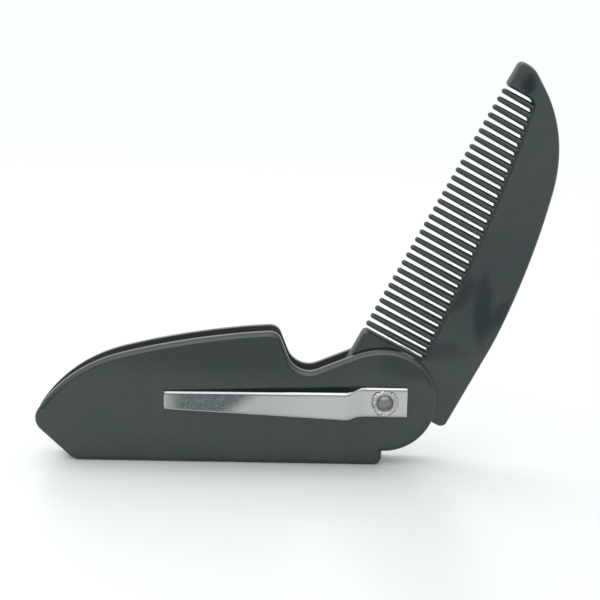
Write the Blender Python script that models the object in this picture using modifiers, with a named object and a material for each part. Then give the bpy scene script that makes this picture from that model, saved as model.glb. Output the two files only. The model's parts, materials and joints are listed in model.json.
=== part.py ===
"""Folding beard comb: a toothed blade that folds into a channel handle with a pocket clip.

Lengths are in metres and angles in degrees unless a name says otherwise. The comb stands on the
bottom edge of its handle. X runs along the handle towards the pivot, Y from the front (clip side)
to the back, Z up. The origin is the middle of the flat that the handle stands on.

Every piece is drawn round the pivot, so its own origin lies on the hinge axis. Outlines are lists
of corners (x, z, radius), and each corner with a radius is replaced by a tangent arc.
"""

import math

import bmesh
import bpy
from mathutils import Matrix, Vector

# Handle: a U channel with two round ears at the pivot
handle_thickness = 0.0092
wall_thickness = 0.00165
web_thickness = 0.0029
ear_radius = 0.0124
top_height = 0.0166
nose_reach = 0.0839
nose_depth = 0.0063
nose_radius = 0.0042
chamfer_run = 0.0103
chamfer_foot_radius = 0.0040
web_end_radius = 0.0020
web_end_root_radius = 0.00025
handle_front_edge_radius = 0.0011
handle_back_edge_radius = 0.0003

# Finger notch in the handle's top edge
notch_reach = 0.0255
notch_lip_radius = 0.0029
notch_root_reach = 0.0210
notch_root_radius = 0.0054
ear_flank_slope = 22.6
ear_shoulder_radius = 0.0183
ear_crown_length = 0.0003

# The top edge that the handle and the blade's spine share: three bends between straight guides.
# Each is (share of nose_reach, share of the height from the nose to the top, share of the guide
# before it at which the bend starts). The last bend ends at the given share of the last guide.
top_line_shares = ((0.337, 1.000, 0.775), (0.603, 0.873, 0.435), (0.895, 0.589, 0.459))
nose_guide_share = 0.80

# Blade
comb_angle = 62.4
blade_side_clearance = 0.00045
tip_overhang = 0.0008
spine_setback = 0.00045
tip_spine_radius = 0.0060
tip_corner_radius = 0.0012
far_guard_depth = 0.0118
near_guard_reach = 0.01275
far_guard_length = 0.00655
guard_corner_radius = 0.0012
far_guard_corner_radius = 0.0009
heel_setback = 0.00045
heel_radius = 0.0016
heel_root_radius = 0.0005
tang_setback = 0.0004
blade_edge_radius = 0.0008

# Teeth
tooth_count = 31
tooth_root_width = 0.0015
tooth_tip_width = 0.0012
tooth_root_thickness = 0.0036
tooth_tip_thickness = 0.0018
tooth_root_depth = 0.0012
tooth_rise = 0.00015
near_root_offset = -0.00348
far_root_offset = 0.00413
root_line_radius = 0.424
near_root_corner_radius = 0.0003
far_root_corner_radius = 0.0020
tooth_flank_share = 0.35
tooth_ridge_share = 0.40
# Rounded tooth end: (share of the tip width back from the end, share of the full section)
tooth_end_shares = ((0.0, 0.35), (0.14, 0.72), (0.5, 1.0))

# Pocket clip: a strip bent outwards beside the rivet, and sloping back to the wall. Its arm is set
# lower than its base by clip_arm_drop.
clip_thickness = 0.0008
clip_base_half_length = 0.0054
clip_base_width = 0.0072
clip_shoulder_width = 0.0067
clip_tip_width = 0.00445
clip_joggle_length = 0.0033
clip_joggle_rise = 0.0030
clip_reach = 0.0521
clip_arm_drop = 0.0004
clip_bend_radius = 0.0014
clip_edge_radius = 0.00015

# Rivet
rivet_shank_radius = 0.0023
rivet_bore_radius = 0.0019
rivet_bore_depth = 0.0016
rivet_roll_radius = 0.0033
rivet_roll_height = 0.0009
rivet_head_radius = 0.0036
rivet_head_height = 0.0011
rivet_head_rim_height = 0.0003
rivet_sides = 40
rivet_curve_segments = 6
hole_sides = 40

# Clearances and working values
seat_gap = 0.0003
stop_gap = 0.0003
pin_clearance = 0.0003
cut_overrun = 0.0030
chord_error = 0.00002
weld_distance = 0.000001
flat_angle = 0.1
edge_angle = 60.0
smooth_angle = 35.0
handle_edge_segments = 3
small_edge_segments = 2

# Sizes worked out from the ones above
chamfer_foot_reach = nose_reach - chamfer_run
slot_width = handle_thickness - 2 * wall_thickness
blade_thickness = slot_width - 2 * blade_side_clearance
slot_floor_depth = ear_radius + tooth_rise + stop_gap
base_depth = slot_floor_depth + web_thickness
tang_radius = ear_radius - tang_setback
blade_reach = nose_reach + tip_overhang
far_guard_reach = blade_reach - far_guard_length
pin_hole_radius = rivet_shank_radius + pin_clearance
front_face = -handle_thickness / 2
back_face = handle_thickness / 2
clip_middle = front_face - seat_gap - clip_thickness / 2
clip_front = clip_middle - clip_thickness / 2
pivot = Vector(((chamfer_foot_reach + stop_gap) / 2, 0, base_depth))


def start_scene():
    """Empty the scene and make the collections for the parts and for the cutters."""
    for item in list(bpy.data.objects):
        bpy.data.objects.remove(item, do_unlink=True)
    made = []
    for name in ("folding_beard_comb", "cutters"):
        collection = bpy.data.collections.new(name)
        bpy.context.scene.collection.children.link(collection)
        made.append(collection)
    return made


def material(name, colour, roughness, metallic):
    made = bpy.data.materials.new(name)
    made.use_nodes = True
    shader = made.node_tree.nodes["Principled BSDF"]
    shader.inputs["Base Color"].default_value = (*colour, 1)
    shader.inputs["Roughness"].default_value = roughness
    shader.inputs["Metallic"].default_value = metallic
    made.diffuse_color = (*colour, 1)
    return made


def arc_points(centre, radius, start, end):
    """Points on an arc from angle start to angle end, in radians, within chord_error of it."""
    step = 2 * math.acos(1 - min(chord_error / radius, 1))
    count = max(2, math.ceil(abs(end - start) / step))
    angles = [start + (end - start) * i / count for i in range(count + 1)]
    return [Vector((centre.x + radius * math.cos(a), centre.y + radius * math.sin(a))) for a in angles]


def fillet_reaches(corners, half_angles, closed):
    """How far from each corner its arc starts. Two arcs that would cross on a side shrink to fit it."""
    count = len(corners)
    wanted = [radius / math.tan(half) if radius else 0 for (x, z, radius), half in zip(corners, half_angles)]
    if not closed:
        wanted[0] = wanted[-1] = 0
    fitted = list(wanted)
    for i in range(count):
        j = (i + 1) % count
        side = (Vector(corners[j][:2]) - Vector(corners[i][:2])).length
        if wanted[i] + wanted[j] > side:
            room = side / (wanted[i] + wanted[j])
            fitted[i] = min(fitted[i], room * wanted[i])
            fitted[j] = min(fitted[j], room * wanted[j])
    return fitted


def rounded(corners, closed=True):
    """The corners (x, z, radius) as points, with an arc at each corner that has a radius."""
    places = [Vector((x, z)) for x, z, radius in corners]
    before = [(a - b).normalized() for a, b in zip([places[-1], *places], places)]
    after = [(a - b).normalized() for a, b in zip([*places[1:], places[0]], places)]
    half_angles = [a.angle(b) / 2 for a, b in zip(before, after)]
    points = []
    for i, reach in enumerate(fillet_reaches(corners, half_angles, closed)):
        if reach == 0:
            points.append(places[i])
            continue
        radius = reach * math.tan(half_angles[i])
        centre = places[i] + (before[i] + after[i]).normalized() * radius / math.sin(half_angles[i])
        start = places[i] + before[i] * reach - centre
        end = places[i] + after[i] * reach - centre
        start_angle = math.atan2(start.y, start.x)
        turn = (math.atan2(end.y, end.x) - start_angle + math.pi) % math.tau - math.pi
        points += arc_points(centre, radius, start_angle, start_angle + turn)
    return points


def bend(start, corner, end):
    """Points of the parabola from start up to end that is tangent to both guides of the corner."""
    count = math.ceil(math.sqrt((start - 2 * corner + end).length / (4 * chord_error)))
    shares = [i / count for i in range(count)]
    return [start.lerp(corner, share).lerp(corner.lerp(end, share), share) for share in shares]


def arc_between(start, end, radius):
    """Points from start to end on an arc of the radius, bulging to the right of the way travelled."""
    middle = (start + end) / 2
    half_chord = (end - start).length / 2
    along = (end - start).normalized()
    left = Vector((-along.y, along.x))
    centre = middle + left * math.sqrt(radius**2 - half_chord**2)
    start_angle = math.atan2(start.y - centre.y, start.x - centre.x)
    turn = 2 * math.asin(half_chord / radius)
    return arc_points(centre, radius, start_angle, start_angle + turn)


def height_at(line, reach):
    """Height of a line of (reach, height) points at one reach."""
    for near, far in zip(line, line[1:]):
        if near.x <= reach <= far.x:
            return near.y + (far.y - near.y) * (reach - near.x) / (far.x - near.x)
    return line[-1].y


def mesh_object(name, mesh, collection):
    made = bpy.data.objects.new(name, mesh)
    collection.objects.link(made)
    made.location = pivot
    return made


def curve_mesh(name, points, half_width, filled):
    """A flat outline made solid, or an open line made a ribbon, extruded half_width to each side."""
    curve = bpy.data.curves.new(name, "CURVE")
    curve.dimensions = "2D"
    curve.fill_mode = "BOTH" if filled else "NONE"
    curve.extrude = half_width
    spline = curve.splines.new("POLY")
    spline.points.add(len(points) - 1)
    for target, point in zip(spline.points, points):
        target.co = (point.x, point.y, 0, 1)
    spline.use_cyclic_u = filled
    drawn = bpy.data.objects.new(name + "_curve", curve)
    bpy.context.scene.collection.objects.link(drawn)
    evaluated = drawn.evaluated_get(bpy.context.evaluated_depsgraph_get())
    mesh = bpy.data.meshes.new_from_object(evaluated)
    bpy.data.objects.remove(drawn)
    bpy.data.curves.remove(curve)
    mesh.name = name
    work = bmesh.new()
    work.from_mesh(mesh)
    bmesh.ops.remove_doubles(work, verts=work.verts, dist=weld_distance)
    if filled:
        bmesh.ops.dissolve_limit(
            work, angle_limit=math.radians(flat_angle), verts=work.verts, edges=work.edges
        )
        bmesh.ops.recalc_face_normals(work, faces=work.faces)
    work.to_mesh(mesh)
    work.free()
    return mesh


def upright_plate(name, points, thickness, collection):
    """A plate of constant thickness, standing in the XZ plane with its middle at y = 0."""
    mesh = curve_mesh(name, points, thickness / 2, filled=True)
    mesh.transform(Matrix.Rotation(math.pi / 2, 4, "X"))
    return mesh_object(name, mesh, collection)


def shade(item):
    item.data.shade_smooth()
    item.data.set_sharp_from_angle(angle=math.radians(smooth_angle))


def round_edges(item, radius, segments):
    bevel = item.modifiers.new("rounded_edges", "BEVEL")
    bevel.width = radius
    bevel.segments = segments
    bevel.limit_method = "ANGLE"
    bevel.angle_limit = math.radians(edge_angle)


def round_plate_edges(item, front_radius, back_radius, segments):
    """Round the edges of a plate's front outline by one radius and those of its back by another.

    The bevel isn't clamped, because the clamp takes the short sides of an arc for obstacles.
    """
    widest = max(front_radius, back_radius)
    weights = item.data.attributes.new("bevel_weight_edge", "FLOAT", "EDGE")
    for edge in item.data.edges:
        depths = [item.data.vertices[i].co.y for i in edge.vertices]
        if max(depths) < 0:
            weights.data[edge.index].value = front_radius / widest
        elif min(depths) > 0:
            weights.data[edge.index].value = back_radius / widest
    bevel = item.modifiers.new("rounded_edges", "BEVEL")
    bevel.width = widest
    bevel.segments = segments
    bevel.limit_method = "WEIGHT"
    bevel.use_clamp_overlap = False


def boolean(item, other, operation):
    change = item.modifiers.new(other.name, "BOOLEAN")
    change.operation = operation
    change.object = other
    other.hide_render = True
    other.display_type = "WIRE"


def hole_cutter(name, collection):
    """A cylinder along Y on the hinge axis, as wide as the hole that the rivet's shank runs in."""
    mesh = bpy.data.meshes.new(name)
    work = bmesh.new()
    bmesh.ops.create_cone(
        work,
        cap_ends=True,
        segments=hole_sides,
        radius1=pin_hole_radius,
        radius2=pin_hole_radius,
        depth=handle_thickness + 2 * (clip_thickness + cut_overrun),
        matrix=Matrix.Rotation(math.pi / 2, 4, "X"),
    )
    work.to_mesh(mesh)
    work.free()
    return mesh_object(name, mesh, collection)


def box_cutter(name, low, high, collection):
    mesh = bpy.data.meshes.new(name)
    work = bmesh.new()
    size = Vector(high) - Vector(low)
    place = Matrix.Translation((Vector(low) + Vector(high)) / 2)
    bmesh.ops.create_cube(work, size=1, matrix=place @ Matrix.Diagonal((*size, 1)))
    work.to_mesh(mesh)
    work.free()
    return mesh_object(name, mesh, collection)


def top_line():
    """The shared top edge as points (reach from the pivot, height over it), ending at the nose."""
    height = top_height + nose_depth
    corners = [Vector((0, top_height))]
    corners += [Vector((x * nose_reach, z * height - nose_depth)) for x, z, start in top_line_shares]
    nose = Vector((nose_reach, -nose_depth))
    starts = [start for x, z, start in top_line_shares] + [nose_guide_share]
    guides = zip(corners, [*corners[1:], nose], starts)
    joints = [near.lerp(far, share) for near, far, share in guides]
    points = []
    for start, corner, end in zip(joints, corners[1:], joints[1:]):
        points += bend(start, corner, end)
    return [corners[0], *points, joints[-1], nose]


def handle_outline():
    """Outline of both walls, in order: ear, finger notch, top edge, nose, base, web end."""
    top = top_line()
    behind_lip = notch_reach + 2 * notch_lip_radius
    flank = math.radians(ear_flank_slope)
    shoulder_reach = ear_crown_length + ear_shoulder_radius * math.tan(flank / 2)
    notch_root_height = ear_radius - (notch_root_reach - shoulder_reach) * math.tan(flank)
    ear = arc_points(Vector((0, 0)), ear_radius, -math.pi / 2, math.pi / 2)
    corners = [(point.x, point.y, 0) for point in ear]
    corners += [
        (-shoulder_reach, ear_radius, ear_shoulder_radius),
        (-notch_root_reach, notch_root_height, notch_root_radius),
        (-notch_reach, height_at(top, notch_reach), notch_lip_radius),
    ]
    corners += [(-point.x, point.y, 0) for point in top[:-1] if point.x > behind_lip]
    corners += [
        (-nose_reach, -nose_depth, nose_radius),
        (-chamfer_foot_reach, -base_depth, chamfer_foot_radius),
        (-stop_gap, -base_depth, web_end_radius),
        (-stop_gap, -ear_radius, web_end_root_radius),
    ]
    return rounded(corners)


def make_handle(parts, cutters, hole):
    handle = upright_plate("handle", handle_outline(), handle_thickness, parts)
    shade(handle)
    round_plate_edges(handle, handle_front_edge_radius, handle_back_edge_radius, handle_edge_segments)
    slot = box_cutter(
        "blade_slot",
        (-nose_reach - cut_overrun, -slot_width / 2, -slot_floor_depth),
        (ear_radius + cut_overrun, slot_width / 2, top_height + cut_overrun),
        cutters,
    )
    boolean(handle, slot, "DIFFERENCE")
    boolean(handle, hole, "DIFFERENCE")
    return handle


def tip_line(reach):
    """Height of the line between the guards' ends, over the pivot line, with the blade teeth up."""
    along = (reach - near_guard_reach) / (far_guard_reach - near_guard_reach)
    return ear_radius + (far_guard_depth - ear_radius) * along


def root_line():
    """The arc where the teeth grow out of the blade, from the near guard to the far one."""
    near = Vector((near_guard_reach, near_root_offset))
    far = Vector((far_guard_reach, far_root_offset))
    return arc_between(near, far, root_line_radius)


def blade_outline():
    """Outline of the blade without its teeth, drawn open: teeth up, spine down, tip at +X."""
    top = top_line()
    before_nose, nose = top[-2:]
    slope = (nose.y - before_nose.y) / (nose.x - before_nose.x)
    roots = root_line()
    corners = [(heel_setback, spine_setback - top_height, heel_radius)]
    corners += [(point.x, spine_setback - point.y, 0) for point in top[1:-1]]
    corners += [
        (blade_reach, spine_setback - nose.y - slope * tip_overhang, tip_spine_radius),
        (blade_reach, tip_line(blade_reach), tip_corner_radius),
        (far_guard_reach, tip_line(far_guard_reach), far_guard_corner_radius),
        (far_guard_reach, far_root_offset, far_root_corner_radius),
    ]
    inner_roots = [p for p in reversed(roots[1:-1]) if p.x < far_guard_reach - 2 * far_root_corner_radius]
    corners += [(point.x, point.y, 0) for point in inner_roots]
    corners += [
        (near_guard_reach, near_root_offset, near_root_corner_radius),
        (near_guard_reach, ear_radius, guard_corner_radius),
        (-tang_radius, ear_radius, tang_radius),
        (-tang_radius, -tang_radius, tang_radius - heel_root_radius),
        (heel_setback, -tang_radius, heel_root_radius),
    ]
    return rounded(corners)


def tooth_section(centre, height, width, thickness):
    """Eight points round a tooth at one height: flat flanks, sloping faces and a narrow ridge."""
    half_width = width / 2
    half_thickness = thickness / 2
    quarter = [
        (half_width, tooth_flank_share * half_thickness),
        (tooth_ridge_share * half_width, half_thickness),
    ]
    ring = quarter + [(-x, y) for x, y in reversed(quarter)]
    ring += [(-x, -y) for x, y in quarter] + [(x, -y) for x, y in reversed(quarter)]
    return [Vector((centre + x, y, height)) for x, y in ring]


def loft(work, sections):
    """Join equal rings of points with quads, and close both ends."""
    rings = [[work.verts.new(point) for point in section] for section in sections]
    for lower, upper in zip(rings, rings[1:]):
        for i in range(len(lower)):
            j = (i + 1) % len(lower)
            work.faces.new((lower[i], lower[j], upper[j], upper[i]))
    work.faces.new(reversed(rings[0]))
    work.faces.new(rings[-1])


def make_teeth(collection):
    """The row of teeth as separate tapered solids, with their roots sunk in the blade."""
    pitch = (far_guard_reach - near_guard_reach + tooth_root_width) / (tooth_count + 1)
    roots = root_line()
    work = bmesh.new()
    for i in range(tooth_count):
        centre = near_guard_reach - tooth_root_width / 2 + (i + 1) * pitch
        root = height_at(roots, centre)
        tip = tip_line(centre) + tooth_rise
        sections = [tooth_section(centre, root - tooth_root_depth, tooth_root_width, tooth_root_thickness)]
        for back_share, size_share in reversed(tooth_end_shares):
            sections.append(
                tooth_section(
                    centre,
                    tip - back_share * tooth_tip_width,
                    size_share * tooth_tip_width,
                    size_share * tooth_tip_thickness,
                )
            )
        loft(work, sections)
    bmesh.ops.recalc_face_normals(work, faces=work.faces)
    mesh = bpy.data.meshes.new("teeth")
    work.to_mesh(mesh)
    work.free()
    return mesh_object("teeth", mesh, collection)


def make_comb_blade(parts, cutters, hole):
    blade = upright_plate("comb_blade", blade_outline(), blade_thickness, parts)
    teeth = make_teeth(cutters)
    for item in (blade, teeth):
        shade(item)
        item.rotation_euler.y = -math.radians(comb_angle)
    round_plate_edges(blade, blade_edge_radius, blade_edge_radius, small_edge_segments)
    boolean(blade, teeth, "UNION")
    boolean(blade, hole, "DIFFERENCE")
    return blade


def clip_side_line():
    """Middle line of the strip seen from above, from its tip to the far end of its base."""
    joggle_foot = -clip_base_half_length
    joggle_top = joggle_foot - clip_joggle_length
    raised = clip_middle - clip_joggle_rise
    corners = [
        (-clip_reach, clip_middle, 0),
        (joggle_top, raised, clip_bend_radius),
        (joggle_foot, clip_middle, clip_bend_radius),
        (clip_base_half_length, clip_middle, 0),
    ]
    return rounded(corners, closed=False)


def clip_face_outline():
    """Outline of the strip seen from the front, tapering from the base to the tip."""
    joggle_foot = -clip_base_half_length
    joggle_top = joggle_foot - clip_joggle_length
    stations = [
        (clip_base_half_length, 0, clip_base_width / 2),
        (joggle_foot, 0, clip_base_width / 2),
        (joggle_top, -clip_arm_drop, clip_shoulder_width / 2),
        (-clip_reach, -clip_arm_drop, clip_tip_width / 2),
    ]
    upper = [Vector((x, middle + half_width)) for x, middle, half_width in stations]
    lower = [Vector((x, middle - half_width)) for x, middle, half_width in reversed(stations)]
    return upper + lower


def make_pocket_clip(parts, cutters, hole):
    ribbon = curve_mesh("pocket_clip", clip_side_line(), clip_base_width / 2 + cut_overrun, filled=False)
    clip = mesh_object("pocket_clip", ribbon, parts)
    sheet = clip.modifiers.new("sheet", "SOLIDIFY")
    sheet.thickness = clip_thickness
    sheet.offset = 0
    depth = 2 * (handle_thickness + clip_joggle_rise)
    face = upright_plate("clip_face", clip_face_outline(), depth, cutters)
    boolean(clip, face, "INTERSECT")
    boolean(clip, hole, "DIFFERENCE")
    round_edges(clip, clip_edge_radius, small_edge_segments)
    shade(clip)
    return clip


def rivet_profile():
    """Half section of the rivet as (radius, height): rolled end on top, factory head at the foot."""
    roll_foot = -clip_front + seat_gap
    roll_top = roll_foot + rivet_roll_height
    roll_middle = (rivet_roll_radius + rivet_bore_radius) / 2
    roll_half_width = (rivet_roll_radius - rivet_bore_radius) / 2
    head_seat = -back_face - seat_gap
    head_rim = head_seat - rivet_head_rim_height
    head_end = head_seat - rivet_head_height
    dome = rivet_head_height - rivet_head_rim_height
    profile = [(0, roll_top - rivet_bore_depth), (rivet_bore_radius, roll_top - rivet_bore_depth)]
    for i in range(rivet_curve_segments + 1):
        angle = math.pi * (1 - i / rivet_curve_segments)
        radius = roll_middle + roll_half_width * math.cos(angle)
        profile.append((radius, roll_foot + rivet_roll_height * math.sin(angle)))
    profile += [
        (rivet_shank_radius, roll_foot),
        (rivet_shank_radius, head_seat),
        (rivet_head_radius, head_seat),
    ]
    for i in range(rivet_curve_segments):
        angle = math.pi / 2 * i / rivet_curve_segments
        profile.append((rivet_head_radius * math.cos(angle), head_rim - dome * math.sin(angle)))
    profile.append((0, head_end))
    return profile


def make_pivot_rivet(parts):
    mesh = bpy.data.meshes.new("pivot_rivet")
    points = [(radius, 0, height) for radius, height in rivet_profile()]
    mesh.from_pydata(points, [(i, i + 1) for i in range(len(points) - 1)], [])
    rivet = mesh_object("pivot_rivet", mesh, parts)
    turned = rivet.modifiers.new("turned", "SCREW")
    turned.steps = rivet_sides
    turned.render_steps = rivet_sides
    turned.use_merge_vertices = True
    turned.merge_threshold = weld_distance
    rivet.rotation_euler.x = math.pi / 2
    return rivet


def main():
    parts, cutters = start_scene()
    hole = hole_cutter("rivet_hole", cutters)
    plastic = material("black_plastic", (0.022, 0.026, 0.026), 0.22, 0.0)
    steel = material("plated_steel", (0.72, 0.72, 0.71), 0.18, 1.0)
    dull_steel = material("rolled_steel", (0.50, 0.50, 0.48), 0.35, 1.0)
    make_handle(parts, cutters, hole).data.materials.append(plastic)
    make_comb_blade(parts, cutters, hole).data.materials.append(plastic)
    make_pocket_clip(parts, cutters, hole).data.materials.append(steel)
    make_pivot_rivet(parts).data.materials.append(dull_steel)


main()
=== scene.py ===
# %% [markdown]
# # A folding beard comb in glossy black plastic
#
# The comb has four pieces: a channel handle, a toothed blade that folds into it, a sprung steel
# clip and the rivet that all of them turn on. The packed model holds them at their real size, and
# it is loaded here as a frame that never moves. Every surface made below is laid over that frame,
# in the same metres, so that nothing has to be fitted afterwards.

# %% Load the frame
import json
import math

import bmesh
import bpy
import numpy as np
from mathutils import Matrix, Vector


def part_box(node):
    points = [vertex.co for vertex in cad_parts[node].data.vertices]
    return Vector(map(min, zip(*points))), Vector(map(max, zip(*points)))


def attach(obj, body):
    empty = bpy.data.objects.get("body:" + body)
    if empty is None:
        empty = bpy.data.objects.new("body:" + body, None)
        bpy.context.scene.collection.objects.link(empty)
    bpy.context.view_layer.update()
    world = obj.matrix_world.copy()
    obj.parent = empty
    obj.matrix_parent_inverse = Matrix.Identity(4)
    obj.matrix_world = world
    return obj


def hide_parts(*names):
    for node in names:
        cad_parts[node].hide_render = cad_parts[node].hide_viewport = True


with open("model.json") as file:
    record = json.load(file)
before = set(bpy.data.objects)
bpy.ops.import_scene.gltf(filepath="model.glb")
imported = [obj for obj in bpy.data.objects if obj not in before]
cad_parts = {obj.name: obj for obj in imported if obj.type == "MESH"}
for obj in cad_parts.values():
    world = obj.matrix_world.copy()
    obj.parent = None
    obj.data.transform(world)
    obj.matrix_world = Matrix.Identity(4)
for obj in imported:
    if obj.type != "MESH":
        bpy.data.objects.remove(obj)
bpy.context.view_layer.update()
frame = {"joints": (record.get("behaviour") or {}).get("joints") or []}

hinge = frame["joints"][0]
pivot = np.array(hinge["pos_m"])
comb_angle = math.radians(hinge["range_deg"][1])
print("pivot", pivot.round(5), "blade raised", round(math.degrees(comb_angle), 1), "degrees")

# %% [markdown]
# ## Camera
#
# A long lens from a little above makes the handle's two walls read as two close parallel lines.
# The lens and the place come from the object itself: the even pitch of the teeth, the known gap
# between the walls and the straight base fix them together. The camera is built from its own
# three directions, because a small roll is awkward to write as one rotation after another.

# %% Camera
image_width = 600
focal_pixels = 1552.8
camera_from_hinge = Vector((-0.02521, -0.35911, 0.09900))
camera_yaw = math.radians(0.761)
camera_pitch = math.radians(11.908)
camera_roll = math.radians(1.241)

ahead = Vector((
    math.sin(camera_yaw) * math.cos(camera_pitch),
    math.cos(camera_yaw) * math.cos(camera_pitch),
    -math.sin(camera_pitch),
))
level_right = Vector((math.cos(camera_yaw), -math.sin(camera_yaw), 0))
level_up = level_right.cross(ahead)
right = level_right * math.cos(camera_roll) + level_up * math.sin(camera_roll)
up = level_up * math.cos(camera_roll) - level_right * math.sin(camera_roll)

camera_data = bpy.data.cameras.new("camera")
camera_data.sensor_width = 36
camera_data.lens = focal_pixels * camera_data.sensor_width / image_width
camera = bpy.data.objects.new("camera", camera_data)
bpy.context.scene.collection.objects.link(camera)
turn = Matrix((right, up, -ahead)).transposed().to_4x4()
camera.matrix_world = Matrix.Translation(Vector(pivot) + camera_from_hinge) @ turn
bpy.context.scene.camera = camera
print("lens", round(camera_data.lens, 1), "mm")

# %% [markdown]
# ## Writing shaders as sums
#
# A material is a graph of nodes, and a graph built call by call is hard to read. One small class
# wraps a node's output so that `1 - mask` or `low + wear * span` adds the Math nodes by itself.
# Every other node comes from one function, which takes the node's type, its settings and what
# goes into its sockets.

# %% Shader arithmetic
class Signal:
    """A node's output that can be added, subtracted and multiplied like a number."""

    def __init__(self, tree, socket):
        self.tree = tree
        self.socket = socket

    def math(self, operation, *values):
        """The result of a Math node that works on these values."""
        settings = {"operation": operation}
        return node(self.tree, "ShaderNodeMath", settings, dict(enumerate(values)))

    def __add__(self, other):
        return self.math("ADD", self, other)

    def __sub__(self, other):
        return self.math("SUBTRACT", self, other)

    def __rsub__(self, other):
        return self.math("SUBTRACT", other, self)

    def __mul__(self, other):
        return self.math("MULTIPLY", self, other)

    def __abs__(self):
        return self.math("ABSOLUTE", self)

    __radd__ = __add__
    __rmul__ = __mul__


def node(tree, kind, settings=None, inputs=None, output=0):
    """Add a node, set it up, fill its sockets with values or links, and return one output."""
    made = tree.nodes.new(kind)
    for name, value in (settings or {}).items():
        setattr(made, name, value)
    for name, value in (inputs or {}).items():
        if isinstance(value, Signal):
            tree.links.new(value.socket, made.inputs[name])
        else:
            made.inputs[name].default_value = value
    return Signal(tree, made.outputs[output]) if made.outputs else None


print("with a number first:", [name for name in vars(Signal) if name.startswith("__r")])

# %% Shader helpers
def ramp(tree, value, low, high):
    """A smooth step from 0 at low to 1 at high; low may be the larger of the two."""
    settings = {"interpolation_type": "SMOOTHSTEP"}
    inputs = {"Value": value, "From Min": low, "From Max": high}
    return node(tree, "ShaderNodeMapRange", settings, inputs)


def mix_colour(tree, share, first, second):
    """The first colour where share is 0, the second where it is 1. Either may be a Signal."""
    first, second = (c if isinstance(c, Signal) else (*c, 1) for c in (first, second))
    return node(tree, "ShaderNodeMix", {"data_type": "RGBA"}, {0: share, 6: first, 7: second}, 2)


def along_axis(tree, vector, letter):
    """One coordinate of a vector, as X, Y or Z."""
    return node(tree, "ShaderNodeSeparateXYZ", None, {"Vector": vector}, letter)


def length(tree, vector):
    """How long a vector is."""
    return node(tree, "ShaderNodeVectorMath", {"operation": "LENGTH"}, {0: vector}, "Value")


def ray(tree, kind):
    """1 where a Camera, Glossy, Diffuse or Transmission ray asks for the colour, and 0 elsewhere."""
    return node(tree, "ShaderNodeLightPath", output=f"Is {kind} Ray")


def bump(tree, height, distance):
    """A normal for relief that is distance metres deep where height is 1."""
    return node(tree, "ShaderNodeBump", None, {"Strength": 1.0, "Distance": distance, "Height": height})


def object_coordinates(tree, scale=(1, 1, 1)):
    """The place in metres, as every piece sits at the origin, stretched along each axis."""
    place = node(tree, "ShaderNodeTexCoord", output="Object")
    return node(tree, "ShaderNodeMapping", inputs={"Vector": place, "Scale": scale})


def noise(tree, place, scale, detail=2.0, roughness=0.5):
    """Smooth noise between 0 and 1, with blotches about 1 / scale wide."""
    inputs = {"Vector": place, "Scale": scale, "Detail": detail, "Roughness": roughness}
    return node(tree, "ShaderNodeTexNoise", None, inputs)


def new_material(name):
    """An empty material and its node tree."""
    made = bpy.data.materials.new(name)
    made.use_nodes = True
    made.node_tree.nodes.clear()
    return made, made.node_tree


def surface(tree, **inputs):
    """A Principled shader with these inputs, wired to the material's output."""
    named = {}
    for name, value in inputs.items():
        named[name.replace("_", " ").title().replace("Ior", "IOR")] = value
    shader = node(tree, "ShaderNodeBsdfPrincipled", None, named)
    node(tree, "ShaderNodeOutputMaterial", None, {"Surface": shader})


print("shader helpers ready in Blender", bpy.app.version_string)

# %% [markdown]
# ## Black plastic
#
# The handle and the blade are the same moulded plastic. It is nearly black, with a trace of green,
# and what the eye reads as grey is the pale room mirrored in it. A lighter base colour would give
# the same grey but lose the gloss, so the base stays very dark and the reflection does the rest.
#
# Small things keep it from looking like a computer's black. A moulding warps a little as it cools,
# so the handle's faces lean in towards the open side of the channel and mirror a place further
# off. Its skin is faintly wavy, the gloss is worn duller in soft patches, and handling leaves fine
# scratches. Two surfaces have no gloss: inside the channel the plastic keeps the skin of the
# mould's core, and the blade's flanks, where its mould parted, are dull. Inside the channel the
# black is also painted lighter, as painted light that stands in for stray light in the deep slot.

# %% Black plastic
lean_from = 0.0060
lean_to = 0.0300
inside_half_width = 0.00305
inside_border = 0.0001
flank_from = 0.75
flank_to = 0.35
patch_scale = 130.0
haze_scale = 220.0
wave_scale = 420.0
skin_scale = 5200.0
scratch_stretch = (260, 260, 2600)
relief_depth = 0.001
greenish_black = (0.0238, 0.0390, 0.0390)
bluish_black = (0.0310, 0.0405, 0.0415)
# Painted light: a lighter black for inside the channel, standing in for stray light there
painted_light_black = (0.0600, 0.0700, 0.0700)


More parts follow.
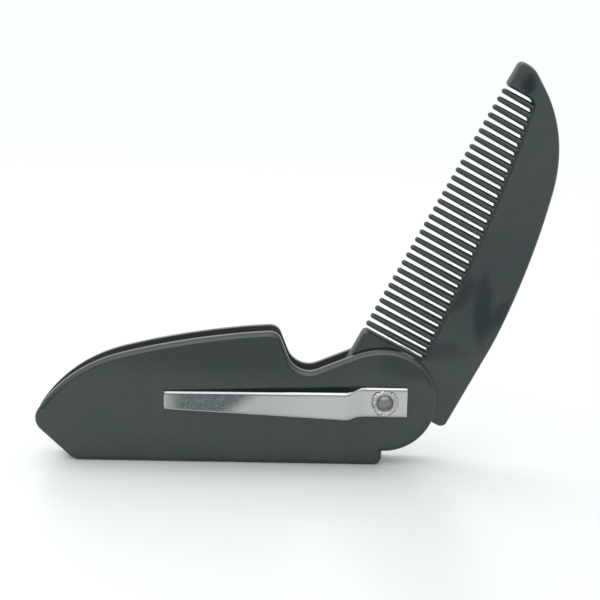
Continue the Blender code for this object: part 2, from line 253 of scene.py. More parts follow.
def black_plastic(name, lean, dull_and_lit_inside, dull_flanks):
    """Lean is how far the faces lean in, in relief_depths; the others are 1 for a dull surface, and
    inside the channel 1 also paints the black lighter, as painted light.
    """
    material, tree = new_material(name)
    place = object_coordinates(tree)
    position = node(tree, "ShaderNodeTexCoord", output="Object")
    facing = node(tree, "ShaderNodeTexCoord", output="Normal")
    off_middle = abs(along_axis(tree, position, "Y"))
    inside = ramp(tree, off_middle, inside_half_width, inside_half_width - inside_border) * dull_and_lit_inside
    flank = ramp(tree, abs(along_axis(tree, facing, "Y")), flank_from, flank_to) * dull_flanks
    patches = ramp(tree, noise(tree, place, patch_scale), 0.35, 0.65)
    haze = ramp(tree, noise(tree, place, haze_scale, 4.0, 0.6), 0.45, 0.75)
    scratches = ramp(tree, noise(tree, object_coordinates(tree, scratch_stretch), 1.0), 0.66, 0.74)
    skin = mix_colour(tree, patches, greenish_black, bluish_black)
    # Painted light: inside the channel the black turns lighter, standing in for stray light
    colour = mix_colour(tree, inside, skin, painted_light_black)
    roughness = 0.035 + haze * 0.03 + scratches * 0.04 + inside * 0.40 + flank * 0.45
    leaning = ramp(tree, along_axis(tree, position, "Z"), lean_to, lean_from) * lean
    waves = noise(tree, place, wave_scale, 1.0) * 0.004 + noise(tree, place, skin_scale) * 0.0002
    relief = bump(tree, leaning + waves, relief_depth)
    surface(tree, base_color=colour, roughness=roughness, ior=1.57, normal=relief)
    return material


handle_plastic = black_plastic("handle_plastic", lean=0.40, dull_and_lit_inside=1.0, dull_flanks=0.0)
blade_plastic = black_plastic("blade_plastic", lean=0.0, dull_and_lit_inside=0.0, dull_flanks=1.0)
print("plastic made with", len(handle_plastic.node_tree.nodes), "nodes")

# %% [markdown]
# ## Plated steel
#
# The clip is spring steel with a bright plate. It was rolled and polished along its length, so the
# finest marks run along X and are very narrow across it: noise stretched fifty times does that.
# Where the pocket rubs it, near the tip, the plate is scuffed, which is darker, blotchy and dull.

# %% Plated steel
scuff_start = -0.0135
scuff_end = -0.0155
scuff_edge = 0.0034
scuff_slant = 1.2
face_from = -0.93
face_to = -0.985
clip_dull_x = 0.0060
clip_bright_x = 0.0230
blotch_scale = 3400.0
polish_stretch = (60, 3000, 3000)
polish_depth = 0.000003
plate_at_tip = (0.415, 0.420, 0.405)
plate_at_base = (0.485, 0.485, 0.470)
scuffed_plate = (0.070, 0.090, 0.104)


def plated_steel():
    """The clip's steel: a little brighter towards its base, and scuffed between two places."""
    material, tree = new_material("plated_steel")
    position = node(tree, "ShaderNodeTexCoord", output="Object")
    facing = node(tree, "ShaderNodeTexCoord", output="Normal")
    along = along_axis(tree, position, "X")
    slanted = along - along_axis(tree, position, "Z") * scuff_slant
    started = ramp(tree, along, scuff_start - scuff_edge, scuff_start + scuff_edge)
    ended = ramp(tree, slanted, scuff_end - scuff_edge, scuff_end + scuff_edge)
    on_face = ramp(tree, along_axis(tree, facing, "Y"), face_from, face_to)
    blotches = noise(tree, object_coordinates(tree), blotch_scale, 4.0, 0.7)
    blotches = ramp(tree, blotches, 0.36, 0.64)
    scuff = started * (1 - ended) * on_face * (0.62 + blotches * 0.38)
    polish = noise(tree, object_coordinates(tree, polish_stretch), 1.0, 3.0)
    at_base = ramp(tree, along, clip_dull_x, clip_bright_x)
    plate = mix_colour(tree, at_base, plate_at_tip, plate_at_base)
    colour = mix_colour(tree, scuff, plate, scuffed_plate)
    roughness = 0.10 + polish * 0.10 + scuff * 0.20
    relief = bump(tree, polish, polish_depth)
    surface(tree, base_color=colour, metallic=1.0, roughness=roughness, normal=relief)
    return material


# %% [markdown]
# ## Worked steel
#
# The rivet's end was spread with a rolling tool, which leaves the ring torn, pitted and dull. Two
# scales of noise in the bump do that: pits a few tenths of a millimetre wide, and grain. The disc
# in its middle was spared most of it. The head at the back only met a flat anvil, so it is smooth.
# One material serves all three: a point's distance from the hinge's axis and its side of the comb
# tell them apart.

# %% Worked steel
disc_radius = 0.00190
disc_border = 0.00015
head_border = 0.001
pit_depth = 0.00009
pit_scale = 2600.0
grain_scale = 12000.0
# Each pair is the colour down in the pits, and the colour of the rubbed places between them
torn_steel = ((0.28, 0.28, 0.265), (0.68, 0.68, 0.65))
disc_steel = ((0.205, 0.212, 0.210), (0.27, 0.277, 0.27))
head_steel = ((0.47, 0.47, 0.455), (0.54, 0.54, 0.52))


def worked_steel():
    """The rivet's steel: torn on the ring, turned on the disc, pressed smooth on the head."""
    material, tree = new_material("worked_steel")
    place = object_coordinates(tree)
    position = node(tree, "ShaderNodeTexCoord", output="Object")
    away = node(tree, "ShaderNodeVectorMath", {"operation": "SUBTRACT"}, {0: position, 1: tuple(pivot)})
    across = node(tree, "ShaderNodeVectorMath", {"operation": "MULTIPLY"}, {0: away, 1: (1, 0, 1)})
    head = ramp(tree, along_axis(tree, away, "Y"), -head_border, head_border)
    disc = ramp(tree, length(tree, across), disc_radius, disc_radius - disc_border) * (1 - head)
    pits = noise(tree, place, pit_scale, 4.0, 0.6)
    grain = noise(tree, place, grain_scale)
    rubbed = ramp(tree, pits, 0.35, 0.65)
    pairs = (torn_steel, disc_steel, head_steel)
    torn, turned, pressed = (mix_colour(tree, rubbed, *pair) for pair in pairs)
    colour = mix_colour(tree, head, mix_colour(tree, disc, torn, turned), pressed)
    roughness = 0.50 - rubbed * 0.16 - disc * 0.06 - head * 0.18
    height = (pits + grain * 0.2) * (1 - disc * 0.7) * (1 - head * 0.95)
    relief = bump(tree, height, pit_depth)
    surface(tree, base_color=colour, metallic=1.0, roughness=roughness, normal=relief)
    return material


clip_steel = plated_steel()
rivet_steel = worked_steel()
print("steels made with", [len(steel.node_tree.nodes) for steel in (clip_steel, rivet_steel)], "nodes")

# %% [markdown]
# ## Outlines
#
# The handle and the blade are plates, so each starts as a flat outline in X and Z round the pivot.
# An outline is a short list of corners with a radius each. A corner is rounded by the circle that
# touches both of its sides: it starts at radius / tan(half angle) from the corner. The handle's
# long top edge has no circle in it, and is drawn with three parabolas instead.

# %% Arcs and fillets
arc_step = math.radians(4)


def unit(vectors):
    """The same directions, each with length 1."""
    return vectors / np.linalg.norm(vectors, axis=-1, keepdims=True)


def arc(centre, radius, start, end):
    """Centre plus radius times (cos, sin) of an angle that runs evenly from start to end."""
    angle = np.linspace(start, end, max(3, math.ceil(abs(end - start) / arc_step) + 1))
    return centre + radius * np.column_stack((np.cos(angle), np.sin(angle)))


def parabola(start, corner, end, count):
    """(1-t)^2 start + 2t(1-t) corner + t^2 end, with t from 0 up to, but not including, 1."""
    t = np.arange(count)[:, None] / count
    return (1 - t) ** 2 * start + 2 * t * (1 - t) * corner + t**2 * end


def filleted(corners):
    """A closed outline of (x, z, radius) corners, each radius turned into a tangent arc."""
    table = np.array(corners, float)
    places = table[:, :2]
    before = unit(np.roll(places, 1, axis=0) - places)
    after = unit(np.roll(places, -1, axis=0) - places)
    half = np.arccos(np.clip((before * after).sum(axis=1), -1, 1)) / 2
    pieces = []
    for place, radius, back, on, angle in zip(places, table[:, 2], before, after, half):
        if radius == 0:
            pieces.append(place[None])
            continue
        centre = place + unit(back + on) * radius / math.sin(angle)
        start = place + back * radius / math.tan(angle) - centre
        end = place + on * radius / math.tan(angle) - centre
        start_angle = math.atan2(start[1], start[0])
        turned = (math.atan2(end[1], end[0]) - start_angle + math.pi) % math.tau - math.pi
        pieces.append(arc(centre, radius, start_angle, start_angle + turned))
    return np.concatenate(pieces)


print("arcs have a point every", round(math.degrees(arc_step)), "degrees")

# %% Points along an outline
def subdivided(outline, longest):
    """The closed outline with every side cut into equal parts no longer than longest."""
    side = np.roll(outline, -1, axis=0) - outline
    count = np.maximum(1, np.ceil(np.linalg.norm(side, axis=1) / longest)).astype(int)
    first = np.repeat(np.cumsum(count) - count, count)
    share = (np.arange(count.sum()) - first) / np.repeat(count, count)
    return np.repeat(outline, count, axis=0) + np.repeat(side, count, axis=0) * share[:, None]


def inward(outline):
    """The direction into the material at each point: left of the mean of its two sides' directions."""
    side = unit(np.roll(outline, -1, axis=0) - outline)
    along = unit(side + np.roll(side, 1, axis=0))
    return np.column_stack((-along[:, 1], along[:, 0]))


unit_square = np.array([[0, 0], [1, 0], [1, 1], [0, 1]], float)
print("a square's inward directions", inward(unit_square).round(2).tolist())

# %% [markdown]
# ## From an outline to a plate
#
# A plate is one surface of two parameters. The first goes round the outline, and the second goes
# over the rim: in from the front face, along a quarter of a superellipse to the edge, straight
# across the thickness, and back over another quarter. Its power sets the form: 2 is an ellipse, and
# 1 is a plain chamfer. The same rings could be swept by hand, but as arrays they are one outer
# product. The two flat faces close it.

# %% Rims and plates
rim_segments = 12


def rim(outline, half_thickness, inset, depth, power):
    """Inset I (1 - sin a ^ 2/p) and height T - D (1 - cos a ^ 2/p), with a from 0 to 90 degrees."""
    angle = np.linspace(0, math.pi / 2, rim_segments + 1)[:, None]
    inwards = inset * (1 - np.sin(angle) ** (2 / power)) * np.ones(len(outline))
    height = half_thickness - depth * (1 - np.cos(angle) ** (2 / power)) * np.ones(len(outline))
    return inwards, height


def plate_rings(outline, half_thickness, front, back):
    """Rings of (x, y, z) over both rims, each (inset, depth, power); the first two may be arrays."""
    front_in, front_height = rim(outline, half_thickness, *front)
    back_in, back_height = rim(outline, half_thickness, *back)
    inwards = np.concatenate((front_in, back_in[::-1]))
    y = np.concatenate((-front_height, back_height[::-1]))
    flat = outline[None] + inwards[..., None] * inward(outline)[None]
    return np.stack((flat[..., 0], y, flat[..., 1]), axis=-1)


print("a plate has", 2 * (rim_segments + 1), "rings of points")

# %% Closed meshes
weld_distance = 0.0000005


def ring_faces(rings, points, first=0):
    """Quads between neighbouring closed rings of points, numbered row by row from first."""
    row = np.arange(rings - 1)[:, None] * points
    step = np.arange(points)[None]
    onward = (step + 1) % points
    quads = np.stack((row + step, row + onward, row + points + onward, row + points + step), axis=-1)
    return quads.reshape(-1, 4) + first


def closed_mesh(name, stacks):
    """One mesh from stacks of rings, shape (stack, ring, point, 3), each stack closed at both ends."""
    count, rings, points = stacks.shape[:3]
    firsts = np.arange(count) * rings * points
    quads = np.concatenate([ring_faces(rings, points, first) for first in firsts])
    low_ends = firsts[:, None] + np.arange(points)[None, ::-1]
    high_ends = firsts[:, None] + (rings - 1) * points + np.arange(points)[None]
    mesh = bpy.data.meshes.new(name)
    mesh.from_pydata(stacks.reshape(-1, 3), [], quads.tolist() + low_ends.tolist() + high_ends.tolist())
    work = bmesh.new()
    work.from_mesh(mesh)
    bmesh.ops.remove_doubles(work, verts=work.verts, dist=weld_distance)
    bmesh.ops.recalc_face_normals(work, faces=work.faces)
    work.to_mesh(mesh)
    work.free()
    return mesh


def even_angles(count):
    """Angles from 0 up to, but not including, a full turn."""
    return np.linspace(0, math.tau, count, endpoint=False)


def unit_circle(count):
    """(cos a, 0, sin a) for count even angles a."""
    angle = even_angles(count)
    return np.stack((np.cos(angle), 0 * angle, np.sin(angle)), axis=-1)


def placed(name, mesh):
    """An object at the origin whose mesh is moved from round the pivot to its real place."""
    mesh.transform(Matrix.Translation(pivot))
    made = bpy.data.objects.new(name, mesh)
    bpy.context.scene.collection.objects.link(made)
    return made


print("points within", weld_distance * 1000, "mm are merged")

# %% [markdown]
# ## Cutting and joining
#
# A slot and a rivet hole are easiest to understand as what they are in the workshop: cuts. Each
# cutter is a plain closed solid, used once by a Boolean and thrown away. The Booleans are applied
# at once, so that the finished piece is an ordinary mesh, which is then shaded and dressed.

# %% Boolean helpers
hole_radius = 0.0026
hole_points = 64
cut_overrun = 0.0120


def finished(item):
    """Make what the modifiers show the object's own mesh."""
    shown = item.evaluated_get(bpy.context.evaluated_depsgraph_get())
    old = item.data
    item.data = bpy.data.meshes.new_from_object(shown)
    item.modifiers.clear()
    bpy.data.meshes.remove(old)


def combine(item, other, operation):
    """Join or cut one solid with another, which is used up."""
    change = item.modifiers.new(operation.lower(), "BOOLEAN")
    change.operation = operation
    change.object = other
    finished(item)
    bpy.data.objects.remove(other)


def rivet_hole():
    """A ring of points carried along Y, on the hinge axis."""
    circle = hole_radius * unit_circle(hole_points)
    ends = np.array([[0, -cut_overrun, 0], [0, cut_overrun, 0]])
    return placed("rivet_hole", closed_mesh("rivet_hole", (ends[:, None] + circle[None])[None]))


def smooth(item, sharp_from):
    """Smooth shading that stops at edges sharper than sharp_from degrees."""
    item.data.shade_smooth()
    item.data.set_sharp_from_angle(angle=math.radians(sharp_from))


def let_flat_faces_lead(item):
    """Weigh the normals by area, so that big flat faces look flat right up to their rims."""
    weigh = item.modifiers.new("flat_faces_lead", "WEIGHTED_NORMAL")
    weigh.keep_sharp = True
    finished(item)


def dress(item, material):
    """Give the object this one material."""
    item.data.materials.clear()
    item.data.materials.append(material)


print("rivet hole", hole_radius * 2000, "mm across, in", hole_points, "points")

# %% [markdown]
# ## Handle
#
# The handle is a channel: two walls joined by a web along the bottom, open at the top and at both
# ends so that the blade can swing through. Both walls are the same outline, so the whole handle is
# one thick plate with a wide rounding, cut by a slot. The finger notch behind the ear is a corner
# with a large radius, and the top edge falls away to the nose.

# %% Top line
top_height = 0.0166
nose_reach = 0.08389
nose_depth = 0.0063
# Guides of the top edge: share of the nose's reach, share of the height from nose to top, and the
# share of the guide before it where the bend starts
top_line_shares = ((0.337, 1.000, 0.775), (0.603, 0.873, 0.435), (0.895, 0.589, 0.459))
nose_guide_share = 0.80
bend_steps = 24


def top_line():
    """Three parabolas between straight guides, from over the pivot to the nose, as (reach, height)."""
    height = top_height + nose_depth
    shares = np.array(top_line_shares)
    inner = np.column_stack((shares[:, 0] * nose_reach, shares[:, 1] * height - nose_depth))
    guides = np.vstack(([0, top_height], inner, [nose_reach, -nose_depth]))
    along = np.append(shares[:, 2], nose_guide_share)[:, None]
    joints = guides[:-1] * (1 - along) + guides[1:] * along
    bends = [parabola(a, b, c, bend_steps) for a, b, c in zip(joints, guides[1:], joints[1:])]
    return np.vstack((guides[0], *bends, joints[-1], guides[-1]))


print("top line", len(top_line()), "points")

# %% Handle outline
ear_radius = 0.0124
ear_flank_slope = math.radians(22.6)
shoulder_start = 0.0003
shoulder_radius = 0.0183
notch_root_reach = 0.0210
notch_root_radius = 0.0054
notch_lip_reach = 0.0255
notch_lip_radius = 0.0029
nose_radius = 0.00378
base_depth = 0.01575
chamfer_foot_reach = 0.0736
chamfer_foot_radius = 0.0040
web_end_gap = 0.0003
web_end_radius = 0.0020
web_end_root_radius = 0.00025
handle_spacing = 0.002


def handle_outline():
    """Round the ear, down its flank into the notch, along the top, round the nose, back below."""
    top = top_line()
    shoulder_reach = shoulder_start + shoulder_radius * math.tan(ear_flank_slope / 2)
    root_drop = (notch_root_reach - shoulder_reach) * math.tan(ear_flank_slope)
    lip_height = np.interp(notch_lip_reach, top[:, 0], top[:, 1])
    corners = [(x, z, 0) for x, z in arc(np.zeros(2), ear_radius, -math.pi / 2, math.pi / 2)]
    corners += [
        (-shoulder_reach, ear_radius, shoulder_radius),
        (-notch_root_reach, ear_radius - root_drop, notch_root_radius),
        (-notch_lip_reach, lip_height, notch_lip_radius),
    ]
    corners += [(-x, z, 0) for x, z in top[:-1] if x > notch_lip_reach + 2 * notch_lip_radius]
    corners += [
        (-nose_reach, -nose_depth, nose_radius),
        (-chamfer_foot_reach, -base_depth, chamfer_foot_radius),
        (-web_end_gap, -base_depth, web_end_radius),
        (-web_end_gap, -ear_radius, web_end_root_radius),
    ]
    return subdivided(filleted(corners), handle_spacing)


handle_line = handle_outline()
print("handle outline", len(handle_line), "points", np.ptp(handle_line, axis=0).round(4))

# %% [markdown]
# ## Cutting the handle
#
# The slot is one long box. It overruns the nose, the ears and the top edge and stops short of the
# base, so it leaves two walls and the web. The plate's outer edges are round already, and the bevel
# only breaks the sharp edges that the cuts leave.

# %% Handle
handle_half_thickness = 0.0046
wall_thickness = 0.00165
front_rim = (0.0013, 0.0008, 1.5)
back_rim = (0.0002, 0.0002, 2.0)
slot_floor_depth = 0.01285
slot_half_width = handle_half_thickness - wall_thickness
cut_edge_radius = 0.00012
cut_edge_segments = 3
sharp_degrees = 50


def box_solid(name, low, high):
    """Two square rings of points, one at each end of Y."""
    x = np.array([low[0], high[0], high[0], low[0]])
    z = np.array([low[2], low[2], high[2], high[2]])
    rings = np.stack([np.stack((x, np.full(4, y), z), axis=-1) for y in (low[1], high[1])])
    return placed(name, closed_mesh(name, rings[None]))


def break_edges(item):
    """Round each edge that is sharper than sharp_degrees."""
    bevel = item.modifiers.new("soft_edges", "BEVEL")
    bevel.width = cut_edge_radius
    bevel.segments = cut_edge_segments
    bevel.limit_method = "ANGLE"
    bevel.angle_limit = math.radians(sharp_degrees)
    bevel.use_clamp_overlap = True


def make_handle():
    """The plate, less the slot and the rivet hole."""
    rings = plate_rings(handle_line, handle_half_thickness, front_rim, back_rim)
    handle = placed("channel_handle", closed_mesh("channel_handle", rings[None]))
    slot = box_solid(
        "slot",
        (-nose_reach - cut_overrun, -slot_half_width, -slot_floor_depth),
        (ear_radius + cut_overrun, slot_half_width, top_height + cut_overrun),
    )
    combine(handle, slot, "DIFFERENCE")
    combine(handle, rivet_hole(), "DIFFERENCE")
    handle.data.shade_smooth()
    break_edges(handle)
    let_flat_faces_lead(handle)
    dress(handle, handle_plastic)
    return handle


handle = make_handle()
print("handle faces", len(handle.data.polygons))

# %% [markdown]
# ## Blade
#
# The blade is a thinner plate between two guards that shield the row of teeth, drawn here with its
# teeth up and its spine down. The spine is the handle's own top line turned over, so the closed
# comb has one even edge. The tips stand along a straight line, and the roots along an arc.

# %% Tips and roots
near_guard_reach = 0.01275
near_guard_height = 0.0124
far_guard_reach = 0.07815
far_guard_height = 0.0118
near_root_height = -0.00348
far_root_height = 0.00413
root_line_radius = 0.424


def tip_height(reach):
    """The straight line through both guards' ends, which falls a little towards the far one."""
    share = (reach - near_guard_reach) / (far_guard_reach - near_guard_reach)
    return near_guard_height + (far_guard_height - near_guard_height) * share


def root_height(reach):
    """A circle of root_line_radius through both ends of the row, sagging away from the tips."""
    ends = np.array([[near_guard_reach, near_root_height], [far_guard_reach, far_root_height]])
    half_chord = np.linalg.norm(ends[1] - ends[0]) / 2
    along = unit(ends[1] - ends[0])
    away = math.sqrt(root_line_radius**2 - half_chord**2)
    centre = ends.mean(axis=0) + np.array([-along[1], along[0]]) * away
    return centre[1] - np.sqrt(root_line_radius**2 - (reach - centre[0]) ** 2)


row_middle = (near_guard_reach + far_guard_reach) / 2
gap_depth = tip_height(row_middle) - root_height(row_middle)
print("gaps in the middle of the row", round(gap_depth * 1000, 1), "mm deep")

# %% Blade outline
blade_reach = 0.08468
spine_setback = 0.00047
heel_setback = 0.00045
tang_radius = 0.0120
heel_radius = 0.0016
spine_end_radius = 0.0060
tip_radius = 0.0012
far_guard_radius = 0.0009
far_root_radius = 0.0020
near_root_radius = 0.0003
near_guard_radius = 0.0012
tang_foot_radius = 0.0005
root_line_points = 100
# The fillet at the far guard's root takes the place of this many of them
covered_root_points = 6
blade_spacing = 0.0008


def blade_outline():
    """Along the spine, round the tip, down the far guard, back along the roots, round the tang."""
    top = top_line()
    slope = (top[-1, 1] - top[-2, 1]) / (top[-1, 0] - top[-2, 0])
    spine_end = spine_setback - top[-1, 1] - slope * (blade_reach - nose_reach)
    roots = np.linspace(far_guard_reach, near_guard_reach, root_line_points)
    roots = roots[covered_root_points:-1]
    corners = [(heel_setback, spine_setback - top_height, heel_radius)]
    corners += [(x, spine_setback - z, 0) for x, z in top[1:-1]]
    corners += [
        (blade_reach, spine_end, spine_end_radius),
        (blade_reach, tip_height(blade_reach), tip_radius),
        (far_guard_reach, far_guard_height, far_guard_radius),
        (far_guard_reach, far_root_height, far_root_radius),
    ]
    corners += [(x, z, 0) for x, z in zip(roots, root_height(roots))]
    corners += [
        (near_guard_reach, near_root_height, near_root_radius),
        (near_guard_reach, near_guard_height, near_guard_radius),
        (-tang_radius, near_guard_height, tang_radius),
        (-tang_radius, -tang_radius, tang_radius - tang_foot_radius),
        (heel_setback, -tang_radius, tang_foot_radius),
    ]
    return subdivided(filleted(corners), blade_spacing)


blade_line = blade_outline()
print("blade outline", len(blade_line), "points", np.ptp(blade_line, axis=0).round(4))

# %% [markdown]
# ## Teeth
#
# Thirty-one teeth stand in the row. Each is a stack of rings: the section is a rounded lozenge,
# |x|^p + |y|^p = 1, stretched to the tooth's width and thickness at that height. Both shrink from
# root to tip, the end closes like a fingertip, and the width flares with a quarter circle where
# the tooth grows out of the blade. Copies of one tooth would all be equally long, so each tooth
# has its own numbers, and they are worked out together as one array.

# %% Rings of a tooth
tooth_root_width = 0.0015
tooth_tip_width = 0.0012
tooth_root_thickness = 0.0036
tooth_tip_thickness = 0.0018
tooth_sink = 0.0012
root_flare = 0.00035
round_end = tooth_tip_width / 2
flare_rings = 6
shaft_rings = 6
shaft_from = 0.15
shaft_to = 0.90
end_rings = 7
last_ring_angle = math.radians(8)


def ring_heights(root, tip):
    """Where each tooth's rings are: close together at the flare and the end, wide on the shaft."""
    flare_angle = np.linspace(0, math.pi / 2, flare_rings)
    above_root = np.concatenate(([-tooth_sink], root_flare * (1 - np.cos(flare_angle))))
    shaft = np.linspace(shaft_from, shaft_to, shaft_rings)
    end_angle = np.linspace(math.pi / 2, last_ring_angle, end_rings)
    below_tip = round_end * (1 - np.cos(end_angle))
    return np.concatenate((root + above_root, root + (tip - root) * shaft, tip - below_tip), axis=1)


def half_sizes(height, root, tip):
    """Half the width and half the thickness of each ring, from its height."""
    share = np.clip((height - root) / (tip - root), 0, 1)
    gone = np.clip((height - root) / root_flare, 0, 1)
    flare = root_flare * (1 - np.sqrt(1 - (1 - gone) ** 2))
    left = np.clip((tip - height) / round_end, 0, 1)
    end = np.sqrt(1 - (1 - left) ** 2)
    width = tooth_root_width + (tooth_tip_width - tooth_root_width) * share**2
    thickness = tooth_root_thickness + (tooth_tip_thickness - tooth_root_thickness) * share
    return width * end / 2 + flare, thickness * end / 2


print("a tooth has", 1 + flare_rings + shaft_rings + end_rings, "rings")

# %% Teeth
tooth_count = 31
tooth_rise = 0.00015
section_power = 2.4
section_points = 24
pitch = (far_guard_reach - near_guard_reach + tooth_root_width) / (tooth_count + 1)


def superellipse(angle, power):
    """(x, y) with |x|^power + |y|^power = 1, one point for each angle."""
    x = np.sign(np.cos(angle)) * np.abs(np.cos(angle)) ** (2 / power)
    y = np.sign(np.sin(angle)) * np.abs(np.sin(angle)) ** (2 / power)
    return x, y


def make_teeth():
    """All the teeth as one mesh of closed stacks of rings."""
    centre = near_guard_reach - tooth_root_width / 2 + pitch * np.arange(1, tooth_count + 1)
    root = root_height(centre)[:, None]
    tip = tip_height(centre)[:, None] + tooth_rise
    height = ring_heights(root, tip)
    half_width, half_thickness = half_sizes(height, root, tip)
    across, through = superellipse(even_angles(section_points), section_power)
    x = centre[:, None, None] + half_width[..., None] * across
    y = half_thickness[..., None] * through
    z = height[..., None] + 0 * across
    return placed("teeth", closed_mesh("teeth", np.stack((x, y, z), axis=-1)))


teeth = make_teeth()
tip_gap = pitch - tooth_tip_width
print("pitch", round(pitch * 1000, 3), "mm, gap at the tips", round(tip_gap * 1000, 2), "mm")

# %% [markdown]
# ## Plate and teeth together
#
# The plate's rim is half a millimetre wide all round, but not equally deep. It goes down least
# along the spine, twice as far on the toothed side, and furthest at the roots of the teeth, where
# the floor of each gap is a small rounded saddle that catches the light. A Boolean joins teeth and
# plate, as the moulding is one solid, and the whole is turned by the hinge's angle at the end.

# %% Blade
blade_half_thickness = 0.0025
rim_inset = 0.0005
spine_rim_depth = 0.0007
toothed_rim_depth = 0.0014
root_rim_depth = 0.0016
rim_power = 1.4
row_fade = 0.0009
root_fade = 0.0012
root_margin = 0.0010
toothed_margin = 0.0040
toothed_fade = 0.0060


def rim_depth():
    """How far the rim goes down from a face, at each point of the outline."""
    half_row = (far_guard_reach - near_guard_reach) / 2
    over_roots = blade_line[:, 1] - root_height(blade_line[:, 0])
    in_row = np.clip((half_row - np.abs(blade_line[:, 0] - row_middle)) / row_fade, 0, 1)
    rooted = in_row * np.clip(1 - over_roots / root_fade, 0, 1) * (over_roots > -root_margin)
    rooted = rooted**2 * (3 - 2 * rooted)
    toothed_side = np.clip((over_roots + toothed_margin) / toothed_fade, 0, 1)
    depth = spine_rim_depth + (toothed_rim_depth - spine_rim_depth) * toothed_side
    return depth + (root_rim_depth - depth) * rooted


def make_blade():
    """The plate and the teeth as one solid, with the rivet hole, raised to the hinge's angle."""
    blade_rim = (rim_inset, rim_depth(), rim_power)
    rings = plate_rings(blade_line, blade_half_thickness, blade_rim, blade_rim)
    blade = placed("toothed_blade", closed_mesh("toothed_blade", rings[None]))
    combine(blade, teeth, "UNION")
    combine(blade, rivet_hole(), "DIFFERENCE")
    smooth(blade, 40)
    let_flat_faces_lead(blade)
    there = Matrix.Translation(pivot)
    raised = Matrix.Rotation(-comb_angle, 4, "Y")
    blade.data.transform(there @ raised @ there.inverted())
    dress(blade, blade_plastic)
    return blade


blade = make_blade()
print("blade faces", len(blade.data.polygons))

# %% [markdown]
# ## Pocket clip
#
# The clip is a strip of spring steel with fully rounded edges. It is a slot-shaped section carried
# along a line that lies flat under the rivet, steps outwards and then leans back to the wall. A
# bent sheet with a thickness would need its edges rounded afterwards. The strip's width follows the
# same line, so it tapers towards the tip.

# %% Clip line
clip_half_thickness = 0.0004
clip_seat_gap = 0.0003
clip_base_half_length = 0.0054
clip_joggle_length = 0.0033
clip_joggle_rise = 0.0030
clip_reach = 0.0521
clip_bend_radius = 0.0026
clip_foot_radius = 0.0044
clip_end_radius = 0.00010
clip_ring_spacing = 0.0007


def clip_line():
    """The strip's middle line seen from above, (x, y) from tip to base, with two tangent bends."""
    seat = -handle_half_thickness - clip_seat_gap - clip_half_thickness
    foot = -clip_base_half_length
    corners = [
        (-clip_reach, seat, 0),
        (foot - clip_joggle_length, seat - clip_joggle_rise, clip_bend_radius),
        (foot, seat, clip_foot_radius),
        (clip_base_half_length, seat, 0),
    ]
    ends = np.array([corners[0][:2], corners[-1][:2]])
    line = subdivided(filleted(corners), clip_ring_spacing)
    line = line[: np.argmax(line[:, 0]) + 1]
    inner = unit(line[1] - line[0]) * clip_end_radius
    return np.vstack((ends[:1], ends[:1] + inner, line[1:-1], ends[1:] - inner * (1, 0), ends[1:]))


print("clip line", len(clip_line()), "points")

# %% Clip section
clip_edge_points = 9
# Points along the straight part of the section, as shares of half of it
clip_flat_shares = (0.97, 0.50, 0.00, -0.50, -0.97)


def clip_section():
    """Slot-shaped section as (share of the straight part, cosine and sine on the round edges)."""
    edge = np.linspace(-math.pi / 2, math.pi / 2, clip_edge_points)
    flat = np.array(clip_flat_shares)
    share = np.concatenate((1 + 0 * edge, flat, -1 + 0 * edge, -flat))
    across = np.concatenate((np.cos(edge), 0 * flat, -np.cos(edge), 0 * flat))
    through = np.concatenate((np.sin(edge), 1 + 0 * flat, -np.sin(edge), -1 + 0 * flat))
    return share, across, through


print("clip section", len(clip_section()[0]), "points")

# %% Pocket clip
clip_edge_inset = 0.0009
# Along the strip: (x, middle of its width, width)
clip_stations = (
    (-0.0521, -0.0004, 0.00445),
    (-0.0087, -0.0004, 0.0067),
    (-0.0054, 0, 0.0072),
    (0.0054, 0, 0.0072),
)


def make_clip():
    """The section carried along the line, closed at both ends, with the rivet hole."""
    line = clip_line()
    side = unit(np.diff(line, axis=0))
    along = unit(np.vstack((side[:1], side[1:] + side[:-1], side[-1:])))
    outward = np.column_stack((along[:, 1], -along[:, 0]))
    stations = np.array(clip_stations)
    middle = np.interp(line[:, 0], stations[:, 0], stations[:, 1])[:, None]
    half_width = np.interp(line[:, 0], stations[:, 0], stations[:, 2])[:, None] / 2
    radius = np.full((len(line), 1), clip_half_thickness)
    radius[[0, -1]] -= clip_end_radius
    share, across, through = clip_section()
    end_inset = clip_half_thickness - radius
    z = middle + share * (half_width - clip_edge_inset - end_inset) + across * clip_edge_inset
    flat = line[:, None] + outward[:, None] * (through * radius)[..., None]
    rings = np.stack((flat[..., 0], flat[..., 1], z), axis=-1)
    clip = placed("spring_clip", closed_mesh("spring_clip", rings[None]))
    combine(clip, rivet_hole(), "DIFFERENCE")
    smooth(clip, 45)
    dress(clip, clip_steel)
    return clip


clip = make_clip()
print("clip faces", len(clip.data.polygons))

# %% [markdown]
# ## Rivet
#
# The rivet is turned: its half section runs from the domed disc in the middle, through a narrow
# groove, over the rolled flange, down the shank and round the low factory head at the back. A tool
# spread the flange, so its edge isn't a true circle. A few waves round the ring and some nicks,
# fading towards the shank, make it uneven, and as sines they are the same every time.

# %% Rivet profile
bore_radius = 0.0019
rivet_disc_radius = 0.00168
disc_drop = 0.00012
disc_dome = 0.00048
disc_points = 12
groove_depth = 0.00095
groove_slant = 0.00003
shank_radius = 0.0023
roll_radius = 0.0033
rivet_roll_height = 0.0007
roll_power = 0.6
roll_points = 17
head_radius = 0.0036
rivet_head_height = 0.0011
head_rim = 0.0003
head_points = 13
centre_share = 0.05


